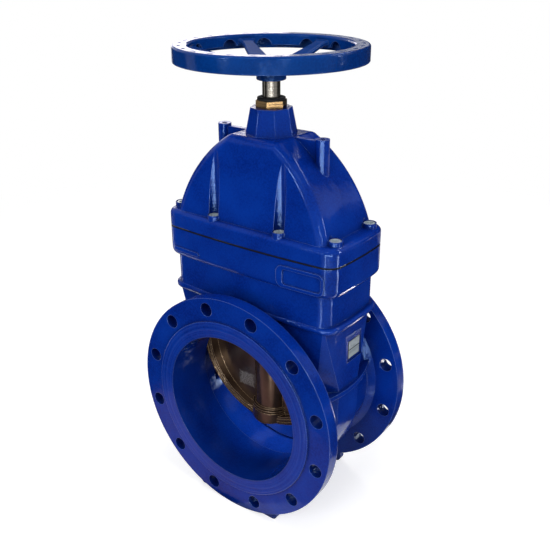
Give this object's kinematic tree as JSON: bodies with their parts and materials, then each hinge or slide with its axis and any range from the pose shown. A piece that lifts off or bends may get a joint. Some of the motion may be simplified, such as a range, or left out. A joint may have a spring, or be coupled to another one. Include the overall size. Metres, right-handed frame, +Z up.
{
  "type": "gate valve",
  "caption": "Flanged wedge gate valve with a handwheel: turning the wheel lifts a rubber-lined wedge out of the round bore.",
  "frame": {"origin": "centre of the bounding box at its lowest level: straight below the bore axis and the stem, on the floor the feet stand on", "axes": "+Z up along the stem, +Y along the bore, away from the pictured flange, +X across the bore"},
  "size_m": [0.445, 0.33, 0.8725],
  "materials": {
    "blue_coating": "glossy",
    "black_rubber": "matte",
    "plated_steel": "satin",
    "bearing_plastic": "satin",
    "brass": "satin",
    "stainless_steel": "polished",
    "grey_iron": "rough",
    "brown_rubber": "satin",
    "white_plastic": "satin"
  },
  "bodies": {
    "housing": {"body": "blue_coating", "bonnet": "blue_coating", "bonnet_gasket": "black_rubber", "bonnet_screws": "plated_steel", "neck_seal": "black_rubber", "lower_thrust_washer": "bearing_plastic", "upper_thrust_washer": "bearing_plastic", "gland_bush": "brass", "gland_inner_o_rings": "black_rubber", "gland_outer_o_rings": "black_rubber", "wiper_ring": "black_rubber"},
    "stem": {"stem": "stainless_steel", "thrust_collar": "brass", "handwheel": "blue_coating", "wheel_washer": "plated_steel", "wheel_bolt": "plated_steel"},
    "wedge": {"wedge_core": "grey_iron", "wedge_lining": "brown_rubber", "wedge_nut": "brass", "guide_shoes": "white_plastic"}
  },
  "joints": [
    {"name": "stem_turn", "type": "hinge", "parent": "housing", "child": "stem", "pos_m": [0, 0, 0.7675], "axis": [0, 0, 1], "range_deg": [-4080, 13920]},
    {"name": "wedge_slide", "type": "slide", "parent": "housing", "child": "wedge", "axis": [0, 0, 1], "range_m": [-0.068, 0.232]}
  ],
  "couplings": [
    {"joint": "wedge_slide", "follows": "stem_turn", "m_per_rad": 0.00095493}
  ]
}
